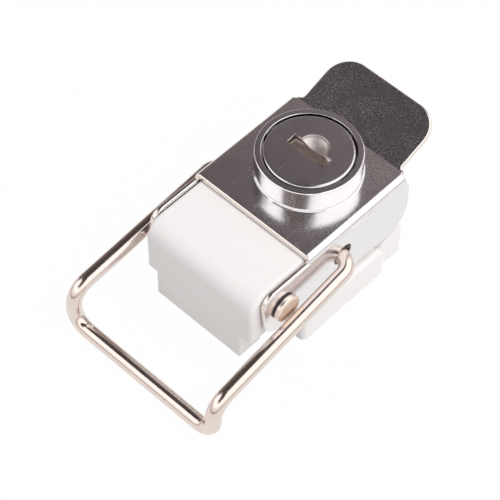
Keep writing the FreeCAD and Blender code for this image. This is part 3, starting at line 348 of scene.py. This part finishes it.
@cache
def lock_chrome():
    """Bright chrome on a smooth casting, with hairline scratches and fine specks."""
    finish = Finish("lock_chrome")
    hairs = finish.scratches(5200, stretch=0.03, turn=0.5, low=0.7, high=0.78)
    specks = finish.dots(2100, 0.11) * (finish.noise(330) > 0.52)
    roughness = finish.spread(finish.noise(300), 0.04, 0.08) + hairs * 0.12 + specks * 0.3
    return finish.metal(opaque(bpy.context.scene.latch_colours.chrome), roughness,
                        finish.noise(1100) + specks * 0.6, depth=0.0012)


@cache
def cap_steel():
    """Satin chrome of the cap, finely grained, with a few scratches across it."""
    finish = Finish("cap_steel")
    cloud = finish.cloud(300)
    scratches = finish.scratches(2600, stretch=0.08, turn=0.9, low=0.75, high=0.79)
    grain = finish.ramp(finish.noise(4200, rough=0.6), 0.5, 0.62)
    tone = finish.shades(cloud, bpy.context.scene.latch_colours.chrome, dark=0.78, light=0.84)
    roughness = finish.spread(cloud, 0.17, 0.2) + grain * 0.045 + scratches * 0.1
    return finish.metal(tone, roughness, grain, depth=0.0002)


@cache
def plug_casting():
    """Pale satin face of the plug, seen in the slot's dish."""
    return cloudy_metal("plug_casting", clouds=900, tones=((0.74, 0.66, 0.63), (0.84, 0.77, 0.74)),
                        roughness=(0.42, 0.5), grain=2400, depth=0.002)


@cache
def shutter_brass():
    """Dull brass of the key slot's flap."""
    return cloudy_metal("shutter_brass", clouds=1500, tones=((0.46, 0.39, 0.33), (0.54, 0.455, 0.39)),
                        roughness=(0.28, 0.36), grain=5000, depth=0.0015, span=NARROW_SPAN)


@cache
def brass():
    """Bare turned or stamped brass."""
    return cloudy_metal("brass", clouds=700, tones=((0.62, 0.42, 0.17), (0.78, 0.57, 0.27)),
                        roughness=(0.2, 0.36), grain=3000, depth=0.004)


@cache
def spring_steel():
    """Drawn spring wire and hardened strip."""
    return cloudy_metal("spring_steel", clouds=1200, tones=((0.36, 0.36, 0.38), (0.52, 0.52, 0.54)),
                        roughness=(0.25, 0.38), grain=4000, depth=0.003)


@cache
def zinc_plate():
    """Bright zinc, with the faint blue and yellow tints of its passivation."""
    finish = Finish("zinc_plate")
    tints = finish.colours(finish.cloud(330), ZINC_TINTS)
    grain = finish.noise(1600, detail=4.0, rough=0.65)
    return finish.metal(tints, finish.spread(grain, 0.26, 0.42), grain, depth=0.008)


@cache
def black_nylon():
    """Thin washers of black plastic, with a dull sheen; under the rivet heads their black is painted shade,
    standing for the shadow and dark reflection round each head.
    """
    finish = Finish("black_nylon")
    grain = finish.cloud(1400)
    # Painted shade: this near-black tone stands for the shadow and dark reflection round the rivet heads.
    tone = finish.mix(finish.spread(grain), (0.02, 0.019, 0.019, 1.0), (0.04, 0.038, 0.037, 1.0))
    return finish.surface(tone, finish.spread(grain, 0.4, 0.55), grain, depth=0.004)


@cache
def black_rubber():
    """Moulded rubber, faintly dusty."""
    finish = Finish("black_rubber")
    dust = finish.ramp(finish.noise(900, detail=4.0, rough=0.7), 0.5, 0.8)
    tone = finish.mix(dust, (0.018, 0.018, 0.019, 1.0), (0.05, 0.05, 0.05, 1.0))
    return finish.surface(tone, finish.ramp(dust, 0.0, 1.0, 0.5, 0.75), finish.noise(2500, detail=3.0),
                          depth=0.01)


FINISHES = {make.__name__: make for make in (
    white_plastic, polished_steel, nickel_wire, rivet_steel, lock_chrome, shutter_brass, brass,
    spring_steel, zinc_plate, black_nylon, black_rubber)}


def add_object(name, data):
    """Object that shows a mesh, a light or a camera in the scene."""
    made = bpy.data.objects.new(name, data)
    bpy.context.scene.collection.objects.link(made)
    return made


def new_piece(name, mesh, body, slot):
    """Add a mesh as a piece that rides on a body and takes its finish from a slot."""
    piece = add_object(name, mesh)
    mesh.materials.append(FINISHES[slot]())
    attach(piece, body)


def mark_cut_faces(form, thickness):
    """Give the second material to the faces that a sheet's thickness doesn't lie behind."""
    tree = BVHTree.FromBMesh(form)
    for face in form.faces:
        inward = -face.normal
        depth = tree.ray_cast(face.calc_center_median() + inward * RAY_START, inward)[3]
        face.material_index = 1 if depth is None or depth > thickness else 0


def whole_copy(node, sheet=None):
    """Joined copy of a CAD node's loose triangles, with each flat face in one piece."""
    form = bmesh.new()
    form.from_mesh(frame["nodes"][node].data)
    bmesh.ops.remove_doubles(form, verts=form.verts, dist=SAME_POINT)
    if sheet:
        mark_cut_faces(form, sheet)
    bmesh.ops.dissolve_limit(form, angle_limit=SAME_PLANE, verts=form.verts, edges=form.edges)
    mesh = bpy.data.meshes.new(node + "_dressed")
    form.to_mesh(mesh)
    form.free()
    return mesh


def settle(piece):
    """Turn what a piece's modifiers make into its plain mesh."""
    graph = bpy.context.evaluated_depsgraph_get()
    mesh = bpy.data.meshes.new_from_object(piece.evaluated_get(graph), preserve_all_data_layers=True,
                                           depsgraph=graph)
    piece.modifiers.clear()
    piece.data = mesh
    return mesh


def pull_in(piece, node, reach):
    """Bring vertices farther than a reach from a CAD node's surface back to it, and all inside its box."""
    source = bmesh.new()
    source.from_mesh(frame["nodes"][node].data)
    tree = BVHTree.FromBMesh(source)
    source.free()
    low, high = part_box(node)
    for vertex in piece.data.vertices:
        nearest, _, _, distance = tree.find_nearest(vertex.co)
        if distance > reach:
            vertex.co = nearest
        vertex.co = [min(max(value, least), most) for value, least, most in zip(vertex.co, low, high)]


def dress(node, edge, sheet=None, finishes=None):
    """Replace a CAD node by a copy with softened edges, in millimetres, and smooth rounds."""
    mesh = whole_copy(node, sheet)
    for material in finishes or [FINISHES[SLOT_OF[node]]()]:
        mesh.materials.append(material)
    mesh.shade_smooth()
    if edge == 0:
        mesh.set_sharp_from_angle(angle=SHARP_ANGLE)
    piece = add_object(node + "_dressed", mesh)
    if edge > 0:
        put(piece.modifiers.new("Edges", "BEVEL"), width=edge * MM, segments=EDGE_STEPS,
            limit_method="ANGLE", angle_limit=SHARP_ANGLE, use_clamp_overlap=False, loop_slide=False)
    put(piece.modifiers.new("Flats", "WEIGHTED_NORMAL"), keep_sharp=True, weight=FLATS_WEIGHT)
    settle(piece)
    if edge > 0:
        pull_in(piece, node, PULL_SHARE * edge * MM)
    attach(piece, BODY_OF[node])
    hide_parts(node)


def paint(node):
    """Give a CAD node its finish and keep its mesh."""
    piece = frame["nodes"][node]
    piece.data.materials.clear()
    piece.data.materials.append(FINISHES[SLOT_OF[node]]())


def bail_corners(sizes):
    """Corner points of the bail's centre line, and the bend at each, in metres."""
    low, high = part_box("wire_bail")
    pivot = Vector(JOINTS["bail_hinge"]["pos_m"])
    radius = sizes.wire_radius
    bar = Vector((high.x - radius, low.y + radius, low.z + radius))
    knee = bar + Vector((0, sizes.hook_lean, sizes.hook_drop))
    arm_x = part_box("lever_plate")[1].x + sizes.side
    right = [Vector((sizes.tip_x, pivot.y, pivot.z)), Vector((arm_x, pivot.y, pivot.z)), knee, bar]
    left = [Vector((-point.x, point.y, point.z)) for point in reversed(right)]
    bends = [0.0, sizes.side_bend, sizes.knee_bend, sizes.corner_bend]
    return right + left, bends + bends[::-1]


def add_burr():
    """Small lump of metal left by welding on the bail's cross bar."""
    form = bmesh.new()
    bmesh.ops.create_icosphere(form, subdivisions=BURR_SUBDIVISIONS, radius=1.0)
    for vertex in form.verts:
        wave = math.sin(BURR_WAVES * vertex.co.x) * math.cos(BURR_WAVES * vertex.co.y + vertex.co.z)
        size = BURR_SIZE * (1.0 + BURR_ROUGH * wave)
        vertex.co = BURR_PLACE + Vector(vertex.co[axis] * size[axis] for axis in range(3))
    mesh = bpy.data.meshes.new("bail_burr")
    form.to_mesh(mesh)
    form.free()
    mesh.shade_smooth()
    new_piece("bail_burr", mesh, "bail", "nickel_wire")


class TreeMaker(Tree):
    """A Geometry Nodes tree with named inputs."""

    def __init__(self, name):
        self.tree = bpy.data.node_groups.new(name, "GeometryNodeTree")
        self.tree.interface.new_socket("Geometry", in_out="INPUT", socket_type="NodeSocketGeometry")
        self.tree.interface.new_socket("Geometry", in_out="OUTPUT", socket_type="NodeSocketGeometry")
        self.entry = self.node("NodeGroupInput")
        self.exit = self.node("NodeGroupOutput")
        self.names = {}

    def input(self, name, kind, value=None):
        """Add a named input and return its output on the tree's entry."""
        made = self.tree.interface.new_socket(name, in_out="INPUT", socket_type=kind)
        if value is not None:
            made.default_value = value
        self.names[name] = made.identifier
        return self.entry.outputs[name]

    def end(self, geometry, material):
        """Realize the result, set its material and hand out the maker."""
        real = self.node("GeometryNodeRealizeInstances", inputs={"Geometry": geometry})
        painted = self.node("GeometryNodeSetMaterial", inputs={
            "Geometry": real.outputs[0], "Material": material})
        self.feed(self.exit.inputs[0], painted.outputs[0])
        return self


def wire_tree():
    """Tree that bends a round wire along corner points."""
    maker = TreeMaker("Bent Wire")
    radius = maker.input("Wire Radius", "NodeSocketFloat")
    sides = maker.input("Sides", "NodeSocketInt", WIRE_SIDES)
    steps = maker.input("Steps in a Bend", "NodeSocketInt", WIRE_BEND_STEPS)
    material = maker.input("Material", "NodeSocketMaterial")
    line = maker.node("GeometryNodeMeshToCurve", inputs={"Mesh": maker.entry.outputs["Geometry"]})
    bend = maker.node("GeometryNodeInputNamedAttribute", {"data_type": "FLOAT"}, {"Name": "bend"})
    rounded = maker.node("GeometryNodeFilletCurve", {"mode": "POLY"}, {
        "Curve": line.outputs[0], "Count": steps, "Radius": bend.outputs["Attribute"]})
    ring = maker.node("GeometryNodeCurvePrimitiveCircle", inputs={"Radius": radius, "Resolution": sides})
    place = maker.node("GeometryNodeInputPosition")
    outward = maker.node("ShaderNodeVectorMath", {"operation": "NORMALIZE"}, {0: place.outputs[0]})
    stored = {"data_type": "FLOAT_VECTOR", "domain": "POINT"}
    marked = maker.node("GeometryNodeStoreNamedAttribute", stored, {
        "Geometry": ring.outputs[0], "Name": "around", "Value": outward.outputs[0]})
    skin = maker.node("GeometryNodeCurveToMesh", inputs={
        "Curve": rounded.outputs[0], "Profile Curve": marked.outputs[0], "Fill Caps": True})
    smooth = maker.node("GeometryNodeSetShadeSmooth", inputs={"Geometry": skin.outputs[0]})
    return maker.end(smooth.outputs[0], material)


def give(piece, maker, **values):
    """Put a tree on a piece as a modifier and set its inputs by their identifiers."""
    modifier = piece.modifiers.new(maker.tree.name, "NODES")
    modifier.node_group = maker.tree
    for name, value in values.items():
        modifier[maker.names[name.replace("_", " ")]] = value


def number_setting(name, description, default, **more):
    """Setting that holds one number."""
    return bpy.props.FloatProperty(name=name, description=description, default=default, **more)


def length_setting(name, description, default):
    """Setting that holds a length in metres."""
    return number_setting(name, description, default, subtype="DISTANCE")


def angle_setting(name, description, degrees):
    """Setting that holds an angle, given here in degrees."""
    return number_setting(name, description, math.radians(degrees), subtype="ANGLE")


def colour_setting(name, description, default):
    """Setting that holds a colour."""
    return bpy.props.FloatVectorProperty(name=name, description=description, default=default,
                                         subtype="COLOR", min=0, max=1)


class LatchEdgeSizes(bpy.types.PropertyGroup):
    """How far the edges of each piece are softened."""
    plate: number_setting("Plate", "Edges of the lever's sheet, in millimetres", 0.44, min=0.0)
    plastic: number_setting("Plastic", "Moulded edges, in millimetres", 0.18, min=0.0)
    lock: number_setting("Lock", "Turned edges of the lock, in millimetres", 0.06, min=0.0)
    sheet: length_setting("Sheet", "Faces with more metal behind them are cut edges", 1.35 * MM)


class LatchBailSizes(bpy.types.PropertyGroup):
    """Sizes of the wire bail."""
    wire_radius: length_setting("Wire radius", "Radius of the bail's wire", 1.65 * MM)
    tip_x: length_setting("Tip", "Middle of the latch to each end of the wire", 12.2 * MM)
    side: length_setting("Side", "Outside of a flange to the arm's centre line", 2.9 * MM)
    side_bend: length_setting("Side bend", "Bend of the wire beside the flange", 3.2 * MM)
    knee_bend: length_setting("Knee bend", "Bend from the arm into the hook", 4.5 * MM)
    corner_bend: length_setting("Corner bend", "Bend into the cross bar", 4.0 * MM)
    hook_drop: length_setting("Hook drop", "Drop of the bail's hooked front", 9.1 * MM)
    hook_lean: length_setting("Hook lean", "How far the hook leans forward", 0.6 * MM)


class LatchColours(bpy.types.PropertyGroup):
    """Colours of the finishes that show most."""
    plastic: colour_setting("Plastic", "Colour of the moulded base", (0.9, 0.872, 0.866))
    steel: colour_setting("Steel", "Reflection of the polished sheet", (0.86, 0.835, 0.84))
    cut: colour_setting("Cut edge", "Reflection of the sheet's sheared edges", (0.88, 0.8, 0.74))
    nickel: colour_setting("Nickel", "Reflection of the bail's plating", (0.8, 0.7, 0.645))
    rivet: colour_setting("Rivet", "Reflection of the rivet's plating", (0.95, 0.83, 0.74))
    chrome: colour_setting("Chrome", "Reflection of the lock's chrome", (0.84, 0.825, 0.84))


class LatchStage(bpy.types.PropertyGroup):
    """Camera and light."""
    azimuth: angle_setting("Azimuth", "Camera's side: 0 looks along +Y", 43.163)
    elevation: angle_setting("Elevation", "Camera's height above the horizon", 53.594)
    roll: angle_setting("Roll", "Camera's turn about its own line of sight", 0.613)
    distance: length_setting("Distance", "Camera to its target", 392.8 * MM)
    lens: number_setting("Lens", "Focal length in millimetres", 145.93)
    target: bpy.props.FloatVectorProperty(name="Target", description="Point in the middle of the picture",
                                          default=(5.62 * MM, -18.368 * MM, 24.5 * MM), subtype="XYZ")
    ambient: number_setting("Ambient", "Light from all round", 0.55)
    key: number_setting("Key lamp", "Power of the main lamp in watts", 2.35)
    fill: number_setting("Fill lamp", "Power of the second lamp in watts", 0.8)
    side: number_setting("Side lamp", "Power of the low lamp at the right in watts", 0.35)


class LATCH_OT_base(bpy.types.Operator):
    """Dress the moulded base"""
    bl_idname = "latch.base"
    bl_label = "Moulded base"

    def execute(self, context):
        dress("base_housing", context.scene.latch_edges.plastic)
        for node in ("insert_front", "insert_rear"):
            dress(node, 0.0)
        return {"FINISHED"}


class LATCH_OT_lever(bpy.types.Operator):
    """Dress the bent sheet lever"""
    bl_idname = "latch.lever"
    bl_label = "Sheet lever"

    def execute(self, context):
        sizes = context.scene.latch_edges
        dress("lever_plate", sizes.plate, sheet=sizes.sheet, finishes=[polished_steel(), sheet_edge()])
        return {"FINISHED"}


class LATCH_OT_bail(bpy.types.Operator):
    """Bend the wire bail"""
    bl_idname = "latch.bail"
    bl_label = "Wire bail"

    def execute(self, context):
        sizes = context.scene.latch_bail
        points, bends = bail_corners(sizes)
        mesh = bpy.data.meshes.new("bail_line")
        mesh.from_pydata(points, [(i, i + 1) for i in range(len(points) - 1)], [])
        mesh.attributes.new("bend", "FLOAT", "POINT").data.foreach_set("value", bends)
        wire = add_object("bail_wire", mesh)
        give(wire, wire_tree(), Wire_Radius=sizes.wire_radius, Material=nickel_wire())
        settle(wire).set_sharp_from_angle(angle=WIRE_SHARP_ANGLE)
        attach(wire, "bail")
        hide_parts("wire_bail")
        add_burr()
        return {"FINISHED"}


class LATCH_OT_rivet(bpy.types.Operator):
    """Dress the pivot rivet and its washers"""
    bl_idname = "latch.rivet"
    bl_label = "Pivot rivet"

    def execute(self, context):
        for node in ("pivot_rivet", "rivet_washer_left", "rivet_washer_right"):
            dress(node, 0.0)
        return {"FINISHED"}


class LATCH_OT_lock(bpy.types.Operator):
    """Dress the lock: its collar and barrel, plug, cap and flap"""
    bl_idname = "latch.lock"
    bl_label = "Key lock"

    def execute(self, context):
        edge = context.scene.latch_edges.lock
        dress("lock_housing", 0.0)
        dress("plug_face_cap", edge, finishes=[cap_steel()])
        dress("lock_plug", 0.0, finishes=[plug_casting()])
        dress("keyway_shutter", edge)
        return {"FINISHED"}


class LATCH_OT_inside(bpy.types.Operator):
    """Dress what the lock holds inside and what fastens it"""
    bl_idname = "latch.inside"
    bl_label = "Lock's inner pieces"

    def execute(self, context):
        for node in ("lock_nut", "nut_washer", "stop_washer", "lock_cam", "cam_screw", "cam_washer"):
            dress(node, 0.0)
        for node in PAINTED:
            paint(node)
        return {"FINISHED"}


def stage_piece(name, points, faces, material, shown=False):
    """Floor or card. A card shows in reflections only and casts no shadow."""
    mesh = bpy.data.meshes.new(name)
    mesh.from_pydata(points, [], faces)
    mesh.materials.append(material)
    piece = add_object(name, mesh)
    if not shown:
        put(piece, visible_camera=False, visible_diffuse=False, visible_shadow=False,
            visible_transmission=False)


def upright_card(name, path, material, height):
    """Card that stands on the floor along a path of (x, y) points."""
    count = len(path)
    points = [(x, y, 0.0) for x, y in path] + [(x, y, height) for x, y in path]
    stage_piece(name, points, [(i, i + 1, count + i + 1, count + i) for i in range(count - 1)], material)


def skirt_path():
    """Part of a circle round the latch, as (x, y) points."""
    start, end = SKIRT_SPAN
    turns = [math.radians(start + (end - start) * i / SKIRT_STEPS) for i in range(SKIRT_STEPS + 1)]
    return [(SKIRT_RADIUS * math.cos(turn), SKIRT_RADIUS * math.sin(turn)) for turn in turns]


def floor_material():
    """Pale floor that shows white and keeps a faint shadow."""
    finish = Finish("floor_white")
    seen = finish.rays("Camera", "Transmission") * FLOOR_GLOW_SEEN
    plain_floor = finish.node("ShaderNodeBsdfDiffuse", inputs={"Color": FLOOR_TONE})
    return finish.end(finish.node("ShaderNodeMixShader", inputs={
        0: seen + finish.rays("Glossy") * FLOOR_GLOW_REFLECTED,
        1: plain_floor.outputs[0],
        2: finish.glow(WHITE).outputs[0]}))


def toned_card(name, axis, stops):
    """Glowing card whose tone follows one of its coordinates through stops of place and colour."""
    finish = Finish(name)
    where = finish.node("ShaderNodeTexCoord").outputs["Object"]
    along = finish.node("ShaderNodeSeparateXYZ", inputs={"Vector": where}).outputs[axis]
    low, high = stops[0][0], stops[-1][0]
    shares = [((place - low) / (high - low), tone) for place, tone in stops]
    return finish.end(finish.glow(finish.colours(finish.ramp(along, low, high), shares)))


def set_world(strength):
    """White to look at, softer as light."""
    finish = Finish("studio", "worlds")
    seen = finish.rays("Camera", "Glossy", "Transmission")
    light = finish.ramp(seen, 0.0, 1.0, strength, 1.0) + finish.rays("Glossy") * REFLECTED_EXTRA
    shader = finish.node("ShaderNodeBackground", inputs={"Color": WHITE, "Strength": light})
    bpy.context.scene.world = finish.end(shader, "ShaderNodeOutputWorld")


def add_lamp(name, power, place, size, colour):
    """Soft square lamp that lights dull surfaces and doesn't show in reflections."""
    light = put(bpy.data.lights.new(name, "AREA"), shape="SQUARE", size=size, energy=power, color=colour)
    turn = (Vector(LAMP_TARGET) - Vector(place)).to_track_quat("-Z", "Y").to_euler()
    put(add_object(name, light), location=place, rotation_euler=turn, visible_glossy=False,
        visible_camera=False)


def aim_camera(settings):
    """Camera at the photograph's angle."""
    azimuth, elevation, roll = settings.azimuth, settings.elevation, settings.roll
    back = Vector((math.sin(azimuth) * math.cos(elevation), -math.cos(azimuth) * math.cos(elevation),
                   math.sin(elevation)))
    right = Vector((math.cos(azimuth), math.sin(azimuth), 0))
    up = back.cross(right)
    across = right * math.cos(roll) + up * math.sin(roll)
    above = up * math.cos(roll) - right * math.sin(roll)
    place = Vector(settings.target) + back * settings.distance
    camera = add_object("camera", bpy.data.cameras.new("camera"))
    put(camera.data, lens=settings.lens, sensor_width=SENSOR_WIDTH, clip_start=CLIP_START)
    camera.matrix_world = Matrix.Translation(place) @ Matrix((across, above, back)).transposed().to_4x4()
    bpy.context.scene.camera = camera


class LATCH_OT_stage(bpy.types.Operator):
    """Set the floor, the reflected cards, the lamps and the camera"""
    bl_idname = "latch.stage"
    bl_label = "Stage"

    def execute(self, context):
        settings = context.scene.latch_stage
        signs = [(-1, -1), (1, -1), (1, 1), (-1, 1)]
        stage_piece("floor", [(x * FLOOR_HALF, y * FLOOR_HALF, FLOOR_Z) for x, y in signs],
                    [(0, 1, 2, 3)], floor_material(), shown=True)
        stage_piece("ceiling_card", [(x, y, CEILING_Z) for x, y in CEILING],
                    [tuple(range(len(CEILING)))], toned_card("card_dark", "Y", CEILING_TONES))
        upright_card("side_card", SIDE, toned_card("card_brown", "X", SIDE_TONES), SIDE_HEIGHT)
        upright_card("skirt", skirt_path(), toned_card("skirt", "Z", SKIRT_TONES), SKIRT_TONES[-1][0])
        set_world(settings.ambient)
        for name, lamp in LAMPS.items():
            add_lamp(name, getattr(settings, name), **lamp)
        aim_camera(settings)
        context.scene.view_settings.view_transform = "Standard"
        return {"FINISHED"}


class LATCH_PT_panel(bpy.types.Panel):
    """Lists the steps that dress the latch lock, and their sizes"""
    bl_idname = "LATCH_PT_panel"
    bl_label = "Latch Lock"
    bl_space_type = "VIEW_3D"
    bl_region_type = "UI"
    bl_category = "Latch Lock"

    def draw(self, context):
        for operator in OPERATORS:
            self.layout.operator(operator.bl_idname)
        for name in SETTINGS:
            group = getattr(context.scene, name)
            box = self.layout.box()
            for prop in group.bl_rna.properties:
                if prop.identifier not in ("rna_type", "name"):
                    box.prop(group, prop.identifier)


OPERATORS = (LATCH_OT_base, LATCH_OT_lever, LATCH_OT_bail, LATCH_OT_rivet, LATCH_OT_lock, LATCH_OT_inside,
             LATCH_OT_stage)
SETTINGS = {"latch_edges": LatchEdgeSizes, "latch_bail": LatchBailSizes, "latch_colours": LatchColours,
            "latch_stage": LatchStage}


def register():
    """Make the settings, the operators and the panel known to Blender."""
    for name, group in SETTINGS.items():
        bpy.utils.register_class(group)
        setattr(bpy.types.Scene, name, bpy.props.PointerProperty(type=group))
    for operator in OPERATORS:
        bpy.utils.register_class(operator)
    bpy.utils.register_class(LATCH_PT_panel)


def unregister():
    """Take back what register did, last first."""
    bpy.utils.unregister_class(LATCH_PT_panel)
    for operator in reversed(OPERATORS):
        bpy.utils.unregister_class(operator)
    for name, group in SETTINGS.items():
        delattr(bpy.types.Scene, name)
        bpy.utils.unregister_class(group)


def main():
    """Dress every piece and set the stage."""
    register()
    bpy.ops.latch.base()
    bpy.ops.latch.lever()
    bpy.ops.latch.bail()
    bpy.ops.latch.rivet()
    bpy.ops.latch.lock()
    bpy.ops.latch.inside()
    bpy.ops.latch.stage()


if __name__ == "__main__":
    main()
